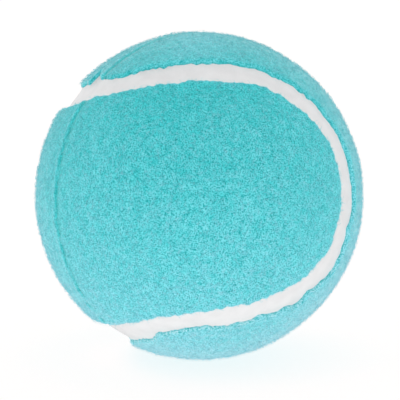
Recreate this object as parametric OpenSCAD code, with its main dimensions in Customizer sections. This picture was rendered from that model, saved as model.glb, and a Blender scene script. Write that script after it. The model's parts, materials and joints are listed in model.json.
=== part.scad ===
// Tennis ball: a hollow rubber core of two half-shells, two dog-bone felt panels on their
// adhesive coats, and one closed rubber seam that fills the channel between the panels.
// Millimetres. The origin is the centre of the ball, and +Z is up.

/* [Core] */
// Outside diameter of the rubber core
core_d = 60; // [50:0.5:64]
// Wall of the rubber core
core_wall = 3.4; // [2:0.1:6]
// Thickness of the cement that bonds the two halves
core_joint_t = 0.3; // [0.1:0.05:0.6]
// Radius of the bead of cement squeezed out inside the joint
joint_bead_r = 0.6; // [0.3:0.05:1]

/* [Cover] */
// Thickness of the adhesive coat under each felt panel
coat_t = 0.3; // [0.1:0.05:0.6]
// Thickness of the felt
felt_t = 3.05; // [2:0.05:4]
// Radius of the roll along the edge of each felt panel
edge_roll = 0.9; // [0.4:0.05:1.3]

/* [Seam] */
// Width of the seam between the two panels, over the felt
seam_w = 5.3; // [3:0.1:8]
// Depth of the seam below the felt, at its edges
seam_recess = 0.9; // [0.6:0.05:1.5]
// How much deeper the seam lies along its middle
seam_dish = 0.15; // [0.05:0.05:0.4]

/* [Moulding line] */
// Radius of the groove that the closing line of the mould leaves in the felt
groove_r = 0.3; // [0.15:0.05:0.5]
// Compass direction of the groove's axis, from the seam's own X
groove_turn = -6.7; // [-180:0.1:180]
// Angle of the groove's axis from the seam's own Z
groove_tilt = 107.7; // [0:0.1:180]

/* [Way up] */
// Turn of the cover about X, the first of three
cover_roll = 94.4; // [-180:0.1:180]
// Turn of the cover about Y
cover_pitch = -9; // [-90:0.1:90]
// Turn of the cover about Z, the last
cover_yaw = -75.3; // [-180:0.1:180]

/* [Hidden] */
$fn = 96;

core_r = core_d / 2;
core_bore_r = core_r - core_wall;
coat_r = core_r + coat_t;
ball_r = coat_r + felt_t;
seam_r = ball_r - seam_recess;
joint_half = core_joint_t / 2;

// The seam is four half circles, each this far from the middle of its lobe. Cut out of the
// sphere, they run into each other without a kink. In the seam's own axes the left panel has
// its lobes at +X and -X with its neck over +Z, and the right panel has its lobes at +Y and -Y
// with its neck under -Z.
lobe_angle = 45;
lobe_middle = 0;
neck_middle = 90;
seam_half = seam_w / 2 / ball_r * 180 / PI;

// The roll is an arc that runs into the felt's edge and its outer face
roll_centre_r = ball_r - edge_roll;
roll_angle = asin(edge_roll / roll_centre_r);
roll_centre_u = roll_centre_r * cos(roll_angle);
roll_steps = 6;

// Steps of a panel's long arcs, from its edge to the middle of its lobe or neck. The lowest arc
// stands off the core's sphere at its corners, so that it touches between them.
arc_steps = 12;
coat_foot_r = core_r / cos((lobe_angle - seam_half) / arc_steps / 2);

// The dish along the seam is an arc through both of the seam's edges
dish_half_w = seam_r * sin(seam_half);
dish_depth = seam_dish + seam_r - sqrt(pow(seam_r, 2) - pow(dish_half_w, 2));
dish_r = (pow(dish_half_w, 2) + pow(dish_depth, 2)) / (2 * dish_depth);
foot_steps = 4;
seam_foot_r = core_r / cos(seam_half / foot_steps);

// Cutting shapes reach this far out
reach = 2 * ball_r;

rubber = [0.22, 0.21, 0.20];
cement = [0.62, 0.55, 0.40];
felt_blue = [0.38, 0.83, 0.85];
seam_white = [0.90, 0.91, 0.90];

// A point of a slice through a lobe's middle: u runs out along the ray at the given angle from
// the middle, and v runs square to it, away from the middle where side is 1
function slice_point(ray, side, u, v) = [
    u * sin(ray) + side * v * cos(ray),
    u * cos(ray) - side * v * sin(ray),
];

function arc_points(r, from, to, steps) = [
    for (i = [0 : steps])
    slice_point(from + (to - from) * i / steps, 1, r, 0)
];

// The roll of a felt panel, from the side of the seam's channel to the outer face
function roll_points(edge, side) = [
    for (i = [0 : roll_steps])
    let (t = -90 + (90 + roll_angle) * i / roll_steps)
    slice_point(edge, side, roll_centre_u + edge_roll * cos(t), edge_roll + edge_roll * sin(t))
];

// Turns a slice about a lobe's middle, through the half circle on the -Z side
module below_lobe(turn) {
    rotate([0, 90, turn])
        rotate([0, 0, -90])
            rotate_extrude(angle = 180)
                children();
}

// Turns a slice about a lobe's middle, through the half circle on the +Z side
module above_lobe(turn) {
    rotate([0, 90, turn])
        rotate([0, 0, 90])
            rotate_extrude(angle = 180)
                children();
}

// The shape of the left panel, in one layer of the cover: its two lobes, and its neck in halves
module panel_shape(lobe_slice, neck_slice) {
    union() {
        for (turn = [0, 180])
            below_lobe(turn)
                polygon(lobe_slice);
        for (turn = [90, 270])
            above_lobe(turn)
                polygon(neck_slice);
    }
}

// A slice of the felt, from one edge to the middle of the lobe or the neck
function felt_slice(edge, middle) =
    let (side = middle > edge ? 1 : -1)
    concat(
        arc_points(coat_r, middle, edge, arc_steps),
        roll_points(edge, side),
        arc_points(ball_r, edge + side * roll_angle, middle, arc_steps)
    );

function coat_slice(edge, middle) =
    concat(
        arc_points(coat_foot_r, middle, edge, arc_steps),
        arc_points(coat_r, edge, middle, arc_steps)
    );

module felt_panel() {
    panel_shape(
        felt_slice(lobe_angle - seam_half, lobe_middle),
        felt_slice(lobe_angle + seam_half, neck_middle)
    );
}

module cement_coat() {
    panel_shape(
        coat_slice(lobe_angle - seam_half, lobe_middle),
        coat_slice(lobe_angle + seam_half, neck_middle)
    );
}

module mould_groove() {
    rotate([0, groove_tilt, groove_turn])
        rotate_extrude()
            translate([ball_r, 0])
                circle(groove_r);
}

// A cross-section of the seam: its foot lies on the core, and its top is dished
module seam_slice() {
    from = lobe_angle - seam_half;
    to = lobe_angle + seam_half;
    difference() {
        polygon(concat(
            arc_points(seam_foot_r, from, to, foot_steps),
            arc_points(ball_r, to, from, 1)
        ));
        translate(slice_point(lobe_angle, 1, seam_r - seam_dish + dish_r, 0))
            circle(dish_r);
    }
}

// The seam's own axes stand as the cover lies on the ball
module as_covered() {
    rotate([cover_roll, cover_pitch, cover_yaw])
        children();
}

// The right panel lies as the left one does, upside down and a quarter turn round
module right_panel() {
    rotate([180, 0, 90])
        children();
}

module core_half() {
    rotate_extrude()
        intersection() {
            difference() {
                circle(core_r);
                circle(core_bore_r);
            }
            translate([0, joint_half])
                square(reach);
        }
}

module core_half_upper() {
    color(rubber)
        core_half();
}

module core_half_lower() {
    color(rubber)
        mirror([0, 0, 1])
            core_half();
}

module core_joint_cement() {
    color(cement)
        rotate_extrude()
            union() {
                intersection() {
                    difference() {
                        circle(core_r);
                        circle(core_bore_r);
                    }
                    translate([0, -joint_half])
                        square([reach, core_joint_t]);
                }
                intersection() {
                    translate([core_bore_r, 0])
                        circle(joint_bead_r);
                    circle(core_bore_r);
                }
            }
}

module panel_cement_left() {
    color(cement)
        as_covered()
            cement_coat();
}

module panel_cement_right() {
    color(cement)
        as_covered()
            right_panel()
                cement_coat();
}

module felt_panel_left() {
    color(felt_blue)
        as_covered()
            difference() {
                felt_panel();
                mould_groove();
            }
}

module felt_panel_right() {
    color(felt_blue)
        as_covered()
            difference() {
                right_panel()
                    felt_panel();
                mould_groove();
            }
}

module seam_strip() {
    color(seam_white)
        as_covered()
            union() {
                for (turn = [0, 180])
                    below_lobe(turn)
                        seam_slice();
                for (turn = [90, 270])
                    above_lobe(turn)
                        seam_slice();
            }
}

core_half_upper();
core_half_lower();
core_joint_cement();
panel_cement_left();
panel_cement_right();
felt_panel_left();
felt_panel_right();
seam_strip();
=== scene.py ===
"""A tennis ball: its felt panels, their loose fibres and the rubber seam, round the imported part.

Metres, in the part's frame: the origin is the ball's centre, +Z is up and -Y faces the camera.
The cover has axes of its own, the seam's. In them the left felt panel has its lobes at +X and -X
and its neck over +Z, and the right panel is the same shape, upside down and a quarter turn round.
"""

import json
import math

import bpy
import numpy as np
from mathutils import Euler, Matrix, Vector, noise
from mathutils.geometry import delaunay_2d_cdt


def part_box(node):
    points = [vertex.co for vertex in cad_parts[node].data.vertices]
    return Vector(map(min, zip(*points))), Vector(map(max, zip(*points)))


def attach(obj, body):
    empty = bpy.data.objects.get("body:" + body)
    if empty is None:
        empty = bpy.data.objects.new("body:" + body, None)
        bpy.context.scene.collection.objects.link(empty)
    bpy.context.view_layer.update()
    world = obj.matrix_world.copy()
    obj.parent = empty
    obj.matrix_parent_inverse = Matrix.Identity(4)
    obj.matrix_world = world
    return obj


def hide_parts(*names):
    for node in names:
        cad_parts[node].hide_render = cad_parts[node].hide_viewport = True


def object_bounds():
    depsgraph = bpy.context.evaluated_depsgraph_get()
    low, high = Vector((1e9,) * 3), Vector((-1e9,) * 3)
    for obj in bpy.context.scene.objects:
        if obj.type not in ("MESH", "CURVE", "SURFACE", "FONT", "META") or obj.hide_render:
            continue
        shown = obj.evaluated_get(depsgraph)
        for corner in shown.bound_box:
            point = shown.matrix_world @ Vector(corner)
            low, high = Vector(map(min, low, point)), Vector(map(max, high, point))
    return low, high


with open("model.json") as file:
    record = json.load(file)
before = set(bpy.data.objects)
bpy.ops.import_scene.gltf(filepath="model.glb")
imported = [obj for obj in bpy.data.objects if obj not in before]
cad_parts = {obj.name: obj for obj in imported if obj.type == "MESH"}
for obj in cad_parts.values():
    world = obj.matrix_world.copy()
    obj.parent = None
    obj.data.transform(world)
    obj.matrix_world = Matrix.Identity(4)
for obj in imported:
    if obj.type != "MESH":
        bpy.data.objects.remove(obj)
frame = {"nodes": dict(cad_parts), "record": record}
cad_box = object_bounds()

MM = 0.001
DEG = math.pi / 180

# The cover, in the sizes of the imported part
BALL_R = (cad_box[1].z - cad_box[0].z) / 2
CORE_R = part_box("core_half_upper")[1].z
FELT_T = 3.05 * MM
EDGE_ROLL = 0.9 * MM
SEAM_W = 5.3 * MM
SEAM_RECESS = 0.9 * MM
SEAM_DISH = 0.15 * MM
LOBE = 45 * DEG
SEAM_HALF = SEAM_W / 2 / BALL_R

# How the cover lies on the ball: its turns about X, then Y, then Z
COVER_TURN = (94.4 * DEG, -9 * DEG, -75.3 * DEG)
RIGHT_PANEL_TURN = (180 * DEG, 0, 90 * DEG)

# The closing line of the mould: the axis of its great circle, in the cover's axes, and its groove.
# The groove wanders, is wider on the side that the axis points to, and fades in patches and towards
# the underside. Its deeper, darker teal is partly bare felt and partly painted shade in the groove.
# Here and below, a higher tone is paler felt, and a higher shade lighter grain.
CREASE_AXIS = (0.946, -0.112, -0.303)
CREASE_SHIFT = 0.15 * MM
CREASE_WANDER = 0.25 * MM
CREASE_WANDER_L = 2.5 * MM
CREASE_DEPTH = 0.18 * MM
CREASE_W = 0.5 * MM
CREASE_FAR_W = 0.75 * MM
CREASE_BARE_AND_SHADE_TONE = -2.4
CREASE_PAINTED_SHADE = -0.3
CREASE_CLEAR = 0.95
CREASE_FADE = 0.7
CREASE_PATCH = 1.7 * MM
CREASE_PATCHY = 1.5

# The low pale lip on one side of the groove, also in patches
LIP_OFFSET = 1.25 * MM
LIP_W = 0.5 * MM
LIP_HEIGHT = 0.12 * MM
LIP_TONE = 0.5
LIP_CLEAR = 0.8
LIP_PATCHY = 1.2

# The felt's surface: the size and height of its lumps, from the broadest to the finest
FELT_LUMPS = (
    (11 * MM, 0.14 * MM),
    (3.2 * MM, 0.05 * MM),
    (1.2 * MM, 0.05 * MM),
    (0.6 * MM, 0.055 * MM),
)

# The ball's underside, a little to the front, in the part's frame. Painted light makes the felt paler
# towards it, and its grain is calmer there. Broad patches of the nap differ in tone at random.
UNDERSIDE_AXIS = np.array((0, -0.1, -1))
PAINTED_UNDERLIGHT = 0.95
NAP_PATCH = 14 * MM
NAP_PATCH_TONE = 0.22
UNDERSIDE_CALM = 0.15

# A pale patch at the top of the ball, a little to the front, in the part's frame: painted sheen on
# the top rim
TOP_SHEEN_AXIS = np.array((0, -0.3, 1)) / math.hypot(0.3, 1)
TOP_SHEEN_W = 7 * MM
TOP_PAINTED_SHEEN = 0.6

# How light the felt's grain is, and how each panel differs in tone and in the shine of its nap
FELT_SHADE = 0.78
PANEL_TONES = {"left": -0.29, "right": -0.05}
PANEL_SHEENS = {"left": 0.45, "right": 0.65}

# The felt's mesh: points along each half circle of its edge, rows round its roll and beside it,
# and the gaps between the points on its top and its base
ARC_POINTS = 280
ROLL_STEPS = 6
STRIP_GAP = 0.26 * MM
STRIP_STEPS = 3
FELT_GAP = 0.29 * MM
BASE_GAP = 2.5 * MM
SPREAD_JITTER = 0.15
TOP_CLEAR = 0.7 * FELT_GAP
BASE_CLEAR = 0.5 * BASE_GAP

# The felt's edges: scallops and nicks along the seam, which fade out away from the edge
SCALLOP_L = 2.4 * MM
SCALLOP = 1.1 * MM
SCALLOP_MIDDLE = 0.22
NICK_L = 0.8 * MM
NICK = 0.3 * MM
EDGE_FADE = 14 * MM

# The felt's look near its edges: a painted shadow right where it meets the seam, a pale rim that is
# partly the frayed edge's own tone and partly painted light, stronger towards the underside, and a
# calmer grain, darkened by painted shade beside the recessed seam
EDGE_PAINTED_SHADOW = -0.4
EDGE_PAINTED_SHADOW_W = 0.1 * MM
EDGE_FRAY_AND_LIGHT = 1.0
EDGE_FRAY_AND_LIGHT_W = 0.7 * MM
EDGE_UNDERLIGHT = 0.7
EDGE_CALM = 0.4
EDGE_PAINTED_SHADE = -0.15
EDGE_CALM_W = 1.3 * MM

# Where the cut of a panel strays from its even edge, in mm: the place along the seam, the reach
# before it and after it, and how far the edge is drawn back there
EDGE_MARKS = {
    "left": (
        (9, 3, 3, -0.4),
        (18, 5, 5, 0.3),
        (24, 1.5, 1.5, -0.5),
        (43, 16, 16, -1.8),
        (52.5, 2, 2, -1.0),
        (58.5, 2, 2, -0.5),
        (67.5, 2.5, 2.5, 0.3),
        (83, 10, 8, -0.9),
        (103, 13, 16, -3.0),
        (260, 6, 5, 1.5),
        (268, 1.5, 1.5, 0.5),
        (283, 12, 10, -1.2),
        (291.5, 2.5, 3, -1.0),
    ),
    "right": (
        (6, 1.2, 1.2, -0.5),
        (12, 1.2, 1.2, -0.7),
        (43, 17, 17, 2.7),
        (46, 1, 1, -1.2),
        (51, 2.5, 1.5, 0.6),
        (54, 3.5, 5.5, 1.5),
        (60, 1.2, 1.2, -0.9),
        (62.5, 1.5, 2, 1.0),
        (70, 2, 2, -0.6),
        (78, 2.5, 2.5, 0.9),
        (97.5, 2.8, 6, 1.5),
        (106, 2.5, 8, 0.9),
        (117, 20, 14, 4.8),
        (261, 7, 4, -0.5),
        (265, 0.2, 2.8, 3.0),
        (275, 2.5, 2, -0.4),
        (280.5, 1.2, 3, 0.5),
        (288, 8.5, 10, 1.6),
    ),
}

# The seam's surface
SEAM_STEPS = 14
SEAM_FOOT_STEPS = 4
SEAM_TUCK = 0.25 * MM
SEAM_CLIMB = 0.22 * MM
SEAM_CLIMB_W = 0.22 * MM
SEAM_LUMP = 4.5 * MM
SEAM_LUMP_HEIGHT = 0.07 * MM
# The seam's painted light, which makes it paler below
SEAM_UNDERLIGHT = 0.2

# The loose fibres, in so many pieces on each panel. More places are drawn than are used, because
# many lie beside the panel.
FIBRES_PER_PIECE = 8500
FIBRE_PIECES = 4
FIBRE_DRAWS = 4 * FIBRES_PER_PIECE
FIBRE_MARGIN = 0.5 * EDGE_ROLL
FIBRE_STEPS = 4
FIBRE_SIDES = 3
FIBRE_L = (0.4 * MM, 1.1 * MM)
FIBRE_R = (0.018 * MM, 0.034 * MM)
FIBRE_TAPER = 0.5
FIBRE_LIFT = (0.03 * MM, 0.55 * MM)
FIBRE_ARCH = 0.8
FIBRE_BEND = 3.2
FIBRE_STRAIGHT = 0.05
FIBRE_ROOT = 0.05 * MM
FIBRE_TONE = (0.2, 1.7)
FIBRE_SHADE = (-0.05, 0.4)

# The seed of the random draws, and those of the noise by what it shapes
SEED = 11
SCALLOP_SEED = 3
NICK_SEED = 5
CREASE_PATCH_SEED = 7
CREASE_WANDER_SEED = 8
SEAM_LUMP_SEED = 9
LIP_PATCH_SEED = 12
NAP_PATCH_SEED = 65
SEED_SHIFT = 17.3


def turn_matrix(angles):
    return np.array(Euler(angles, "XYZ").to_matrix())


SEAM_LENGTH = 4 * math.pi * BALL_R * math.sin(LOBE)
COVER = turn_matrix(COVER_TURN)
PANEL_TURNS = {"left": np.eye(3), "right": turn_matrix(RIGHT_PANEL_TURN)}
PANEL_SIDES = {"left": 1.0, "right": -1.0}


# Meshes

def make_object(name, verts, faces, material, smooth=True):
    """faces is a list of arrays of corner indices, each array with faces of one size."""
    mesh = bpy.data.meshes.new(name)
    mesh.vertices.add(len(verts))
    mesh.vertices.foreach_set("co", np.asarray(verts, np.float32).ravel())
    corners = np.concatenate([f.ravel() for f in faces]).astype(np.int32)
    sizes = np.concatenate([np.full(len(f), f.shape[1]) for f in faces]).astype(np.int32)
    mesh.loops.add(len(corners))
    mesh.loops.foreach_set("vertex_index", corners)
    mesh.polygons.add(len(sizes))
    mesh.polygons.foreach_set("loop_start", np.cumsum(sizes) - sizes)
    mesh.polygons.foreach_set("use_smooth", np.full(len(sizes), smooth))
    mesh.update(calc_edges=True)
    mesh.validate()
    obj = bpy.data.objects.new(name, mesh)
    bpy.context.scene.collection.objects.link(obj)
    mesh.materials.append(material)
    return obj


def add_values(piece, name, values):
    """Gives each point of a piece a value, for its material to read."""
    layer = piece.data.attributes.new(name, "FLOAT", "POINT")
    layer.data.foreach_set("value", values.astype(np.float32))


def noise_at(places, size, seed):
    """Smooth noise from about -1 to 1, in lumps about size across."""
    scaled = places / size + seed * SEED_SHIFT
    return np.array([noise.noise(p) for p in scaled.tolist()])


def unit(vectors):
    return vectors / np.linalg.norm(vectors, axis=1, keepdims=True)


def ring_faces(columns, first, second):
    """Quads between two closed rows of points, given the index of each row's first point."""
    i = np.arange(columns)
    j = (i + 1) % columns
    return np.stack([first + i, first + j, second + j, second + i], 1)


# The seam's line

def seam_place(directions):
    """The angle of each direction from the seam's line, positive on the left panel's side, the
    nearest direction on that line, and the tangent that leads into the left panel."""
    above = directions[:, 2] > 0
    axis = np.zeros_like(directions)
    signs = np.where(directions < 0, -1.0, 1.0)
    axis[above, 1] = signs[above, 1]
    axis[~above, 0] = signs[~above, 0]
    along = (directions * axis).sum(1, keepdims=True)
    across = unit(directions - along * axis)
    angle = np.arccos(np.clip(along, -1, 1))
    side = np.where(above, 1.0, -1.0)[:, None]
    nearest = math.cos(LOBE) * axis + math.sin(LOBE) * across
    tangent = side * (np.cos(angle) * across - np.sin(angle) * axis)
    return (side * (angle - LOBE))[:, 0], nearest, tangent


def edge_row(inset):
    """Directions along the closed line that lies this angle inside the left panel's even edge."""
    lobe = LOBE - SEAM_HALF - inset
    neck = math.pi / 2 - lobe
    turn = np.linspace(0, math.pi, ARC_POINTS, endpoint=False)
    c, s = np.cos(turn), np.sin(turn)
    even = np.ones_like(c)
    lobe_arc = np.stack([math.cos(lobe) * even, math.sin(lobe) * c, -math.sin(lobe) * s], 1)
    neck_arc = np.stack([math.sin(neck) * c, -math.cos(neck) * even, math.sin(neck) * s], 1)
    other_end = np.array([-1, -1, 1])
    return np.concatenate([lobe_arc, neck_arc, lobe_arc * other_end, neck_arc * other_end])


def seam_along(on_line):
    """How far along the seam each point of its line lies. The seam starts and ends over +Y."""
    x, y, z = on_line.T
    round_lobe = np.where(x > 0, 0, 2) + np.arctan2(-z, np.sign(x) * y) / math.pi
    round_neck = np.where(y < 0, 1, 3) + np.arctan2(z, -np.sign(y) * x) / math.pi
    return np.where(z > 0, round_neck, round_lobe) * SEAM_LENGTH / 4


def edge_retreat(on_line, panel):
    """How far a panel's edge is drawn back from its even line, beside points of the seam's line."""
    places = on_line * BALL_R
    side = PANEL_SIDES[panel]
    scallops = SCALLOP_MIDDLE - np.abs(noise_at(places, SCALLOP_L, side * SCALLOP_SEED))
    retreat = SCALLOP * scallops + NICK * noise_at(places, NICK_L, side * NICK_SEED)
    along = seam_along(on_line)
    for place, before, after, back in EDGE_MARKS[panel]:
        past = (along - place * MM + SEAM_LENGTH / 2) % SEAM_LENGTH - SEAM_LENGTH / 2
        reach = np.where(past < 0, before, after) * MM
        retreat += back * MM * np.exp(-((past / reach) ** 2))
    return retreat


# The felt

def underside_share(directions):
    """How far each direction leans towards the underside, from about -1 to 1."""
    return directions @ (UNDERSIDE_AXIS @ COVER)


def crease_shares(places):
    """How much of the mould's groove, and of the lip beside it, each place on the ball has."""
    off = places @ np.array(CREASE_AXIS) - CREASE_SHIFT
    off += CREASE_WANDER * noise_at(places, CREASE_WANDER_L, CREASE_WANDER_SEED)
    fade = CREASE_FADE * underside_share(places / BALL_R)
    patches = noise_at(places, CREASE_PATCH, CREASE_PATCH_SEED)
    clear = np.clip(CREASE_CLEAR - fade + CREASE_PATCHY * patches, 0, 1)
    groove = clear * np.exp(-((off / np.where(off > 0, CREASE_FAR_W, CREASE_W)) ** 2))
    lip_patches = noise_at(places, CREASE_PATCH, LIP_PATCH_SEED)
    raised = np.clip(LIP_CLEAR + LIP_PATCHY * lip_patches, 0, 1)
    lip = raised * np.exp(-(((off + LIP_OFFSET) / LIP_W) ** 2))
    return groove, lip


def felt_relief(directions):
    """Height of the felt over its even surface, in the cover's axes."""
    places = directions * BALL_R
    lumps = sum(h * noise_at(places, size, seed) for seed, (size, h) in enumerate(FELT_LUMPS, 1))
    groove, lip = crease_shares(places)
    return lumps - CREASE_DEPTH * groove + LIP_HEIGHT * lip


def felt_finish(directions, depth):
    """How pale and how light the felt is at each direction and depth in from its edge, and how
    strong its grain is there."""
    places = directions * BALL_R
    underside = underside_share(directions)
    groove, lip = crease_shares(places)
    depth = np.maximum(depth, 0)
    near_edge = np.exp(-((depth / EDGE_CALM_W) ** 2))
    # Bare felt with painted shade in the groove, and painted light that makes the felt paler towards
    # the underside
    tone = CREASE_BARE_AND_SHADE_TONE * groove + LIP_TONE * lip + PAINTED_UNDERLIGHT * underside
    tone += NAP_PATCH_TONE * noise_at(places, NAP_PATCH, NAP_PATCH_SEED)
    # Painted sheen: a pale patch on the top rim
    top_sheen_off = np.linalg.norm(directions - TOP_SHEEN_AXIS @ COVER, axis=1) * BALL_R
    tone += TOP_PAINTED_SHEEN * np.exp(-((top_sheen_off / TOP_SHEEN_W) ** 2))
    # A pale rim along the edge, partly the frayed edge's own tone and partly painted light, more
    # towards the underside
    tone += EDGE_FRAY_AND_LIGHT * (1 + EDGE_UNDERLIGHT * underside) * np.exp(-((depth / EDGE_FRAY_AND_LIGHT_W) ** 2))
    # Painted shade in the groove and along the felt's edges beside the recessed seam
    shade = FELT_SHADE + CREASE_PAINTED_SHADE * groove + EDGE_PAINTED_SHADE * near_edge
    # A painted shadow right where the felt meets the seam
    shade += EDGE_PAINTED_SHADOW * np.exp(-depth / EDGE_PAINTED_SHADOW_W)
    contrast = (1 - EDGE_CALM * near_edge) * (1 - UNDERSIDE_CALM * underside)
    return tone, shade, contrast


def spread_directions(gap, rng):
    """Directions spread evenly over the whole sphere, about a gap apart on the ball."""
    hexagonal = math.sqrt(3) / 2
    count = int(4 * math.pi * BALL_R ** 2 / (hexagonal * gap ** 2))
    rank = np.arange(count) + 0.5
    z = 1 - 2 * rank / count
    turn = math.pi * (1 + math.sqrt(5)) * rank
    ring = np.sqrt(1 - z * z)
    even = np.stack([ring * np.cos(turn), ring * np.sin(turn), z], 1)
    jitter = SPREAD_JITTER * gap / BALL_R
    return unit(even + rng.normal(0, jitter, even.shape))


def filled(rim, inside):
    """Triangles over a panel, between the points of its closed rim and those inside it. They are
    found in a flat map of the ball, seen from the far side of the panel."""
    points = np.concatenate([rim, inside])
    flat = points[:, :2] / (1 + points[:, 2:])
    edges = [(i, (i + 1) % len(rim)) for i in range(len(rim))]
    only_inside = 1
    same_place = 1e-9
    found = delaunay_2d_cdt(flat.tolist(), edges, [], only_inside, same_place)
    origin = np.array([ids[0] for ids in found[3]])
    return origin[np.array(found[2])]


def panel_layout(rng):
    """The felt panel in its own axes: directions, drops below the ball's surface, tilts of the
    normal towards the seam, shares of the relief, and faces."""
    roll = np.linspace(0, math.pi / 2, ROLL_STEPS + 1)
    flat = np.zeros(STRIP_STEPS)
    strips = EDGE_ROLL + np.arange(1, STRIP_STEPS + 1) * STRIP_GAP
    insets = np.concatenate([[0], EDGE_ROLL * (1 - np.cos(roll)), strips])
    drops = np.concatenate([[FELT_T], EDGE_ROLL * (1 - np.sin(roll)), flat])
    tilts = np.concatenate([[math.pi / 2], math.pi / 2 - roll, flat])

    columns = 4 * ARC_POINTS
    rows = [edge_row(inset / BALL_R) for inset in insets]
    spread = spread_directions(FELT_GAP, rng)
    top = spread[seam_place(spread)[0] > SEAM_HALF + (insets[-1] + TOP_CLEAR) / BALL_R]
    sparse = spread_directions(BASE_GAP, rng)
    base = sparse[seam_place(sparse)[0] > SEAM_HALF + BASE_CLEAR / BALL_R]

    directions = np.concatenate(rows + [top, base])
    drop = np.concatenate([np.repeat(drops, columns), np.zeros(len(top)), np.full(len(base), FELT_T)])
    tilt = np.concatenate([np.repeat(tilts, columns), np.zeros(len(top) + len(base))])
    share = np.where(drop < FELT_T, 1.0, 0.0)

    last = (len(rows) - 1) * columns
    edge_faces = [ring_faces(columns, first + columns, first) for first in range(0, last, columns)]
    top_faces = filled(rows[-1], top) + last
    base_faces = filled(rows[0], base)
    base_faces = np.where(base_faces < columns, base_faces, base_faces + last + len(top))
    return directions, drop, tilt, share, [np.concatenate(edge_faces), top_faces, base_faces[:, ::-1]]


def felt_piece(name, panel, layout, material):
    """A felt panel with its rolled, ragged edge, its lumps and the mould's line."""
    own, drop, tilt, share, faces = layout
    side = PANEL_SIDES[panel]
    directions = own @ PANEL_TURNS[panel].T
    angle, nearest, tangent = seam_place(directions)
    inward = side * tangent
    depth = np.maximum(side * angle - SEAM_HALF, 0) * BALL_R
    near = depth < EDGE_FADE
    retreat = np.zeros(len(own))
    retreat[near] = edge_retreat(nearest[near], panel) * (1 - depth[near] / EDGE_FADE) ** 2
    directions = unit(directions + inward * (retreat / BALL_R)[:, None])
    relief = felt_relief(directions) * share
    normal = np.cos(tilt)[:, None] * directions - np.sin(tilt)[:, None] * inward
    verts = directions * (BALL_R - drop)[:, None] + normal * relief[:, None]
    piece = make_object(name, verts @ COVER.T, faces, material)
    tone, shade, contrast = felt_finish(directions, depth)
    add_values(piece, "tone", PANEL_TONES[panel] + tone)
    add_values(piece, "shade", shade)
    add_values(piece, "contrast", contrast)
    return piece


# The seam

def seam_piece(name, material):
    """The rubber seam: a closed band, dished along its middle, that climbs the felt's edges."""
    line = edge_row(-SEAM_HALF)
    tangent = seam_place(line)[2]
    half = SEAM_HALF * BALL_R + SEAM_TUCK
    left = half + edge_retreat(line, "left")
    right = -half - edge_retreat(line, "right")

    def across(share):
        """The seam's points from its right edge, at -1, to its left edge, at 1."""
        off = (right + left) / 2 + share * (left - right) / 2
        turn = (off / BALL_R)[:, None]
        return off, np.cos(turn) * line + np.sin(turn) * tangent

    rows = []
    for share in np.sin(np.linspace(-math.pi / 2, math.pi / 2, SEAM_STEPS + 1)):
        off, direction = across(share)
        to_felt = np.minimum(left - off, off - right) - SEAM_TUCK
        climb = SEAM_CLIMB * np.exp(-np.maximum(to_felt, 0) / SEAM_CLIMB_W)
        dish = SEAM_DISH * (1 - share ** 2)
        lump = SEAM_LUMP_HEIGHT * noise_at(direction * BALL_R, SEAM_LUMP, SEAM_LUMP_SEED)
        radius = BALL_R - SEAM_RECESS - dish + climb + lump
        rows.append(direction * radius[:, None])
    rows += [across(share)[1] * CORE_R for share in np.linspace(1, -1, SEAM_FOOT_STEPS + 1)]

    columns = len(line)
    faces = [
        ring_faces(columns, ((k + 1) % len(rows)) * columns, k * columns)
        for k in range(len(rows))
    ]
    verts = np.concatenate(rows) @ COVER.T
    piece = make_object(name, verts, [np.concatenate(faces)], material)
    # Painted light: the seam is paler towards the underside
    add_values(piece, "pale", SEAM_UNDERLIGHT * (unit(verts) @ UNDERSIDE_AXIS))
    return piece


# The fibres

def fibre_roots(panel, rng):
    """Where the fibres of one piece are rooted on a panel, and how far in from its ragged edge."""
    drawn = unit(rng.normal(0, 1, (FIBRE_DRAWS, 3)))
    angle, nearest, _ = seam_place(drawn)
    inside = (PANEL_SIDES[panel] * angle - SEAM_HALF) * BALL_R
    retreat = edge_retreat(nearest, panel)
    in_groove = crease_shares(drawn * BALL_R)[0] > rng.uniform(0, 1, len(drawn))
    on_felt = (inside > retreat + FIBRE_MARGIN) & ~in_groove
    kept = np.flatnonzero(on_felt)[:FIBRES_PER_PIECE]
    return drawn[kept], (inside - retreat)[kept]


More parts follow.
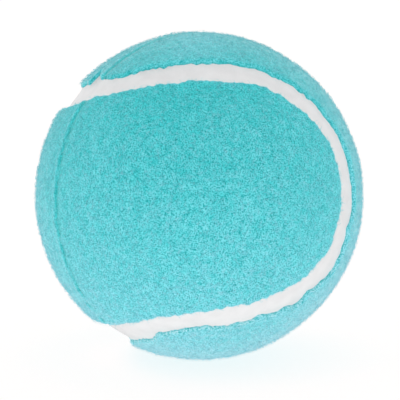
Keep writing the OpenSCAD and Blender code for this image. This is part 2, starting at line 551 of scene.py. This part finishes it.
def fibre_points(root, start, rng):
    """The points of curled strands, fibre by fibre: rings from the start to near the tip, then the
    tip. A fibre arches up from the felt, and follows the ball's curve."""
    count = len(root)
    aside = unit(np.cross(root, rng.normal(0, 1, root.shape)))
    ahead = np.cross(root, aside)
    length = rng.uniform(*FIBRE_L, count)
    low_lift, high_lift = FIBRE_LIFT
    lift = low_lift + (high_lift - low_lift) * rng.uniform(0, 1, count) ** 2
    bend = rng.uniform(-FIBRE_BEND, FIBRE_BEND, count)
    thick = rng.uniform(*FIBRE_R, count)
    straight = np.abs(bend) < FIBRE_STRAIGHT
    curl = length / np.where(straight, 1, bend)
    rings = []
    for step in range(FIBRE_STEPS + 1):
        t = step / FIBRE_STEPS
        turn = bend * t
        forward = np.where(straight, length * t, curl * np.sin(turn))
        sideways = np.where(straight, 0, curl * (1 - np.cos(turn)))
        rise = (t > 0) * (FIBRE_ROOT + lift * np.sin(math.pi * FIBRE_ARCH * t))
        fall = (forward ** 2 + sideways ** 2) / 2 / BALL_R
        centre = start + ahead * forward[:, None] + aside * sideways[:, None]
        centre = centre + root * (rise - fall)[:, None]
        if step == FIBRE_STEPS:
            rings.append(centre[:, None])
            break
        out = unit(ahead * -np.sin(turn)[:, None] + aside * np.cos(turn)[:, None])
        reach = thick * (1 - FIBRE_TAPER * t)
        corners = []
        for corner in range(FIBRE_SIDES):
            around = 2 * math.pi * corner / FIBRE_SIDES
            offset = out * math.cos(around) + root * math.sin(around)
            corners.append(centre + offset * reach[:, None])
        rings.append(np.stack(corners, 1))
    return np.concatenate(rings, 1)


def fibre_faces(count, per_fibre):
    """The faces of closed strands: their sides, their tips and the ends at their roots."""
    pairs = [(corner, (corner + 1) % FIBRE_SIDES) for corner in range(FIBRE_SIDES)]
    last = (FIBRE_STEPS - 1) * FIBRE_SIDES
    sides = []
    for low in range(0, last, FIBRE_SIDES):
        high = low + FIBRE_SIDES
        sides += [[low + a, low + b, high + b, high + a] for a, b in pairs]
    ends = [[last + a, last + b, per_fibre - 1] for a, b in pairs]
    ends.append([2, 1, 0])
    base = (np.arange(count) * per_fibre)[:, None, None]
    return [(base + np.array(sides)).reshape(-1, 4), (base + np.array(ends)).reshape(-1, 3)]


def fibre_piece(name, panel, material, rng):
    """Short curled fibres that lie on a felt panel, each a closed tapered strand of three sides."""
    root, depth = fibre_roots(panel, rng)
    count = len(root)
    roll = np.clip(1 - depth / EDGE_ROLL, 0, 1)
    drop = EDGE_ROLL * (1 - np.sqrt(1 - roll ** 2))
    start = root * (BALL_R - drop + felt_relief(root) - FIBRE_ROOT)[:, None]
    verts = fibre_points(root, start, rng)
    per_fibre = verts.shape[1]
    faces = fibre_faces(count, per_fibre)
    piece = make_object(name, verts.reshape(-1, 3) @ COVER.T, faces, material)
    tone, shade, _ = felt_finish(root, depth)
    tone += PANEL_TONES[panel] + rng.uniform(*FIBRE_TONE, count)
    add_values(piece, "tone", np.repeat(tone, per_fibre))
    add_values(piece, "shade", np.repeat(shade + rng.uniform(*FIBRE_SHADE, count), per_fibre))
    return piece


# Materials

# The felt's colour by its tone, in even steps from the bare felt to the palest loose fibres
BARE_TONE = -2.0
FUZZ_TONE = 3.0
FELT_TONES = (
    (0.045, 0.66, 0.69),
    (0.078, 0.715, 0.755),
    (0.215, 0.815, 0.885),
    (0.36, 0.835, 0.945),
    (0.54, 0.885, 0.975),
    (0.72, 0.93, 0.99),
)
TONE_PATCH = 1.4 * MM
TONE_PATCH_SWING = 2.2

# What the felt's grain leaves of that colour, in its pits, at its middle and on its tips
GRAIN = (
    (0.0, (0.0, 0.47, 0.46)),
    (0.5, (0.32, 0.79, 0.785)),
    (1.0, (1.0, 1.0, 0.995)),
)
GRAIN_SIZE = 0.195 * MM
GRAIN_SWING = 8.0
GRAIN_RELIEF = 0.04 * MM
GRAIN_RELIEF_SHARE = 0.6
FIBRE_GRAIN_SIZE = 0.3 * MM
FIBRE_GRAIN_SWING = 1.0

# The felt's and the fibres' shine
FELT_ROUGHNESS = 0.85
FELT_SPECULAR = 0.15
SHEEN_TINT = (0.88, 0.93, 0.99)
SHEEN_ROUGHNESS = 0.45

# The seam's clouds, from the darkest to the palest, and its fine relief
SEAM_CLOUDS = ((0.15, (0.78, 0.77, 0.775)), (0.85, (0.885, 0.875, 0.88)))
SEAM_CLOUD_SIZE = 2.5 * MM
SEAM_GRAIN_SIZE = 0.5 * MM
SEAM_GRAIN_RELIEF = 0.02 * MM

# The materials of the pieces inside: dark grey rubber with a moulded grain, and dried amber cement
INNER_MATERIALS = {
    "core_rubber": {
        "roughness": 0.65,
        "size": 1.2 * MM,
        "distortion": 0.0,
        "stops": ((0.3, (0.020, 0.019, 0.018)), (0.7, (0.032, 0.030, 0.028))),
        "relief": 0.05 * MM,
    },
    "cement": {
        "roughness": 0.4,
        "size": 3 * MM,
        "distortion": 0.8,
        "stops": ((0.3, (0.30, 0.22, 0.11)), (0.7, (0.42, 0.34, 0.19))),
        "relief": 0.06 * MM,
    },
}


def new_material(name, roughness, sheen=0.0, specular=0.5):
    """A material, its node tree and its shader."""
    material = bpy.data.materials.new(name)
    material.use_nodes = True
    tree = material.node_tree
    shader = tree.nodes["Principled BSDF"]
    shader.inputs["Roughness"].default_value = roughness
    shader.inputs["Sheen Weight"].default_value = sheen
    shader.inputs["Sheen Tint"].default_value = (*SHEEN_TINT, 1)
    shader.inputs["Sheen Roughness"].default_value = SHEEN_ROUGHNESS
    shader.inputs["Specular IOR Level"].default_value = specular
    return material, tree, shader


def noise_node(tree, size, detail=2.0, distortion=0.0):
    """Noise over the piece's own coordinates, in lumps about size across."""
    coordinates = tree.nodes.new("ShaderNodeTexCoord")
    node = tree.nodes.new("ShaderNodeTexNoise")
    node.inputs["Scale"].default_value = 1 / size
    node.inputs["Detail"].default_value = detail
    node.inputs["Distortion"].default_value = distortion
    tree.links.new(coordinates.outputs["Object"], node.inputs["Vector"])
    return node.outputs["Fac"]


def attribute_node(tree, name):
    node = tree.nodes.new("ShaderNodeAttribute")
    node.attribute_name = name
    return node.outputs["Fac"]


def math_node(tree, operation, first, second):
    node = tree.nodes.new("ShaderNodeMath")
    node.operation = operation
    tree.links.new(first, node.inputs[0])
    tree.links.new(second, node.inputs[1])
    return node.outputs[0]


def linear_node(tree, value, scale, offset):
    node = tree.nodes.new("ShaderNodeMath")
    node.operation = "MULTIPLY_ADD"
    node.inputs[1].default_value = scale
    node.inputs[2].default_value = offset
    tree.links.new(value, node.inputs[0])
    return node.outputs[0]


def swing_node(tree, value, swing):
    """Turns a value about 0.5 into one about 0 that swings this many times as widely."""
    return linear_node(tree, value, swing, -0.5 * swing)


def ramp_node(tree, value, stops):
    node = tree.nodes.new("ShaderNodeValToRGB")
    ramp = node.color_ramp
    while len(ramp.elements) < len(stops):
        ramp.elements.new(0.5)
    for element, (place, colour) in zip(ramp.elements, stops):
        element.position = place
        element.color = (*colour, 1)
    tree.links.new(value, node.inputs["Fac"])
    return node.outputs["Color"]


def product_node(tree, first, second):
    """One colour times another."""
    node = tree.nodes.new("ShaderNodeMix")
    node.data_type = "RGBA"
    node.blend_type = "MULTIPLY"
    node.inputs["Factor"].default_value = 1.0
    colours = [s for s in node.inputs if s.type == "RGBA"]
    tree.links.new(first, colours[0])
    tree.links.new(second, colours[1])
    return next(s for s in node.outputs if s.type == "RGBA")


def add_bump(tree, shader, height, distance, strength=1.0):
    bump = tree.nodes.new("ShaderNodeBump")
    bump.inputs["Distance"].default_value = distance
    bump.inputs["Strength"].default_value = strength
    tree.links.new(height, bump.inputs["Height"])
    tree.links.new(bump.outputs["Normal"], shader.inputs["Normal"])


def felt_colour(tree, grain):
    """The felt's colour, from its tone with soft patches and from its grain."""
    patches = swing_node(tree, noise_node(tree, TONE_PATCH), TONE_PATCH_SWING)
    tone = math_node(tree, "ADD", attribute_node(tree, "tone"), patches)
    span = FUZZ_TONE - BARE_TONE
    share = linear_node(tree, tone, 1 / span, -BARE_TONE / span)
    steps = len(FELT_TONES) - 1
    colour = ramp_node(tree, share, [(i / steps, c) for i, c in enumerate(FELT_TONES)])
    return product_node(tree, colour, ramp_node(tree, grain, GRAIN))


def felt_material(name, sheen):
    """Turquoise felt with a fine pitted grain, which is calmer along the panels' edges."""
    material, tree, shader = new_material(name, FELT_ROUGHNESS, sheen, FELT_SPECULAR)
    fine = noise_node(tree, GRAIN_SIZE, detail=1, distortion=0.4)
    even_pits = swing_node(tree, fine, GRAIN_SWING)
    pits = math_node(tree, "MULTIPLY", attribute_node(tree, "contrast"), even_pits)
    grain = math_node(tree, "ADD", attribute_node(tree, "shade"), pits)
    tree.links.new(felt_colour(tree, grain), shader.inputs["Base Color"])
    add_bump(tree, shader, fine, GRAIN_RELIEF, GRAIN_RELIEF_SHARE)
    return material


def fibre_material(name, sheen):
    """The loose fibres: as the felt, each with a tone and a shade of its own."""
    material, tree, shader = new_material(name, FELT_ROUGHNESS, sheen, FELT_SPECULAR)
    along = swing_node(tree, noise_node(tree, FIBRE_GRAIN_SIZE), FIBRE_GRAIN_SWING)
    grain = math_node(tree, "ADD", attribute_node(tree, "shade"), along)
    tree.links.new(felt_colour(tree, grain), shader.inputs["Base Color"])
    return material


def seam_material():
    """Off-white rubber, smooth, with faint clouding and a soft shine. Painted light makes it paler
    below.
    """
    material, tree, shader = new_material("seam_rubber", roughness=0.5, specular=0.3)
    cloud = noise_node(tree, SEAM_CLOUD_SIZE, detail=3)
    colour = ramp_node(tree, math_node(tree, "ADD", attribute_node(tree, "pale"), cloud), SEAM_CLOUDS)
    tree.links.new(colour, shader.inputs["Base Color"])
    add_bump(tree, shader, noise_node(tree, SEAM_GRAIN_SIZE), SEAM_GRAIN_RELIEF)
    return material


def inner_material(name, roughness, size, distortion, stops, relief):
    """A material with one noise in its colour and its relief."""
    material, tree, shader = new_material(name, roughness)
    mottle = noise_node(tree, size, detail=4, distortion=distortion)
    tree.links.new(ramp_node(tree, mottle, stops), shader.inputs["Base Color"])
    add_bump(tree, shader, mottle, relief)
    return material


# The set

FLOOR_HALF = 8.0
FLOOR_CELLS = 16
FLOOR_PAINT = (0.33, 0.28, 0.27)
FLOOR_GLOW = 0.75
WORLD_LIGHT = 1.0
WORLD_SLOPE = (0, 0.10, -0.06)
LAMP_PLACE = (-0.05, -0.7, -0.6)
LAMP_SIZE = 0.6
LAMP_POWER = 0.85

# The camera: where the ball's centre stands in the 400 by 400 picture, and its share of the frame
PICTURE = 400
BALL_IN_PICTURE = (199.2, 195.7)
BALL_SHARE = 162.8 / 200
CAMERA_DISTANCE = 11 * BALL_R
CAMERA_ELEVATION = 8 * DEG
CAMERA_NEAR = 0.01
SENSOR = 36


def stage_floor():
    """A plain pale floor, white to the camera where nothing shades it. It takes the ball's shadow,
    but lets the studio's even light reach the ball from below."""
    material = bpy.data.materials.new("floor")
    material.use_nodes = True
    tree = material.node_tree
    tree.nodes.clear()
    output = tree.nodes.new("ShaderNodeOutputMaterial")
    paint = tree.nodes.new("ShaderNodeBsdfDiffuse")
    paint.inputs["Color"].default_value = (*FLOOR_PAINT, 1)
    glow = tree.nodes.new("ShaderNodeEmission")
    path = tree.nodes.new("ShaderNodeLightPath")
    strength = linear_node(tree, path.outputs["Is Camera Ray"], FLOOR_GLOW, 0)
    tree.links.new(strength, glow.inputs["Strength"])
    added = tree.nodes.new("ShaderNodeAddShader")
    tree.links.new(paint.outputs[0], added.inputs[0])
    tree.links.new(glow.outputs[0], added.inputs[1])
    tree.links.new(added.outputs[0], output.inputs["Surface"])
    steps = np.linspace(-FLOOR_HALF, FLOOR_HALF, FLOOR_CELLS + 1)
    x, y = np.meshgrid(steps, steps)
    verts = np.stack([x.ravel(), y.ravel(), np.full(x.size, cad_box[0].z)], 1)
    corner = np.arange(x.size).reshape(x.shape)
    faces = np.stack([corner[:-1, :-1], corner[:-1, 1:], corner[1:, 1:], corner[1:, :-1]], -1)
    floor = make_object("floor", verts, [faces.reshape(-1, 4)], material, smooth=False)
    floor.visible_diffuse = False
    floor.visible_shadow = False


def stage_world():
    """Soft white light from all round, a little stronger from behind and below, and plain white
    where the camera sees past the floor."""
    world = bpy.data.worlds.new("studio")
    bpy.context.scene.world = world
    world.use_nodes = True
    tree = world.node_tree
    background = tree.nodes["Background"]
    background.inputs["Color"].default_value = (1, 1, 1, 1)
    coordinates = tree.nodes.new("ShaderNodeTexCoord")
    slope = tree.nodes.new("ShaderNodeVectorMath")
    slope.operation = "DOT_PRODUCT"
    slope.inputs[1].default_value = WORLD_SLOPE
    tree.links.new(coordinates.outputs["Generated"], slope.inputs[0])
    light = linear_node(tree, slope.outputs["Value"], 1, WORLD_LIGHT)
    path = tree.nodes.new("ShaderNodeLightPath")
    strength = tree.nodes.new("ShaderNodeMapRange")
    strength.inputs["To Max"].default_value = 1.0
    tree.links.new(light, strength.inputs["To Min"])
    tree.links.new(path.outputs["Is Camera Ray"], strength.inputs["Value"])
    tree.links.new(strength.outputs["Result"], background.inputs["Strength"])


def stage_lamp():
    """A soft square lamp in front of the ball and below it, facing it."""
    lamp = bpy.data.lights.new("key", "AREA")
    lamp.size = LAMP_SIZE
    lamp.energy = LAMP_POWER
    obj = bpy.data.objects.new("key", lamp)
    obj.location = LAMP_PLACE
    obj.rotation_euler = (-Vector(LAMP_PLACE)).to_track_quat("-Z", "Y").to_euler()
    bpy.context.scene.collection.objects.link(obj)


def stage_camera():
    """The photograph's view: a long lens, a little above the ball's middle."""
    camera = bpy.data.cameras.new("camera")
    half_view = math.tan(math.asin(BALL_R / CAMERA_DISTANCE)) / BALL_SHARE
    camera.sensor_width = SENSOR
    camera.lens = SENSOR / 2 / half_view
    camera.clip_start = CAMERA_NEAR
    camera.clip_end = 4 * FLOOR_HALF
    camera.shift_x = 0.5 - BALL_IN_PICTURE[0] / PICTURE
    camera.shift_y = BALL_IN_PICTURE[1] / PICTURE - 0.5
    obj = bpy.data.objects.new("camera", camera)
    back = Vector((0, -math.cos(CAMERA_ELEVATION), math.sin(CAMERA_ELEVATION)))
    obj.location = back * CAMERA_DISTANCE
    obj.rotation_euler = back.to_track_quat("Z", "Y").to_euler()
    bpy.context.scene.collection.objects.link(obj)
    bpy.context.scene.camera = obj


def place_on_ball(piece, slot, *replaced):
    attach(piece, "root")
    if replaced:
        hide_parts(*replaced)


# The ball

layout = panel_layout(np.random.default_rng(SEED))
for number, panel in enumerate(PANEL_TURNS):
    felt = felt_material(f"felt_{panel}", PANEL_SHEENS[panel])
    fibres = fibre_material(f"fibres_{panel}", PANEL_SHEENS[panel])
    place_on_ball(felt_piece(f"felt_{panel}", panel, layout, felt), "felt", f"felt_panel_{panel}")
    for part in range(FIBRE_PIECES):
        rng = np.random.default_rng((SEED, number, part))
        place_on_ball(fibre_piece(f"fibres_{panel}_{part + 1}", panel, fibres, rng), "felt")
place_on_ball(seam_piece("seam", seam_material()), "seam_rubber", "seam_strip")

inner_materials = {name: inner_material(name, **look) for name, look in INNER_MATERIALS.items()}
for part in frame["record"]["subparts"]:
    if part["material_slot"] in inner_materials:
        node = frame["nodes"][part["node"]]
        node.data.materials.clear()
        node.data.materials.append(inner_materials[part["material_slot"]])

stage_floor()
stage_world()
stage_lamp()
stage_camera()
bpy.context.scene.view_settings.view_transform = "Standard"
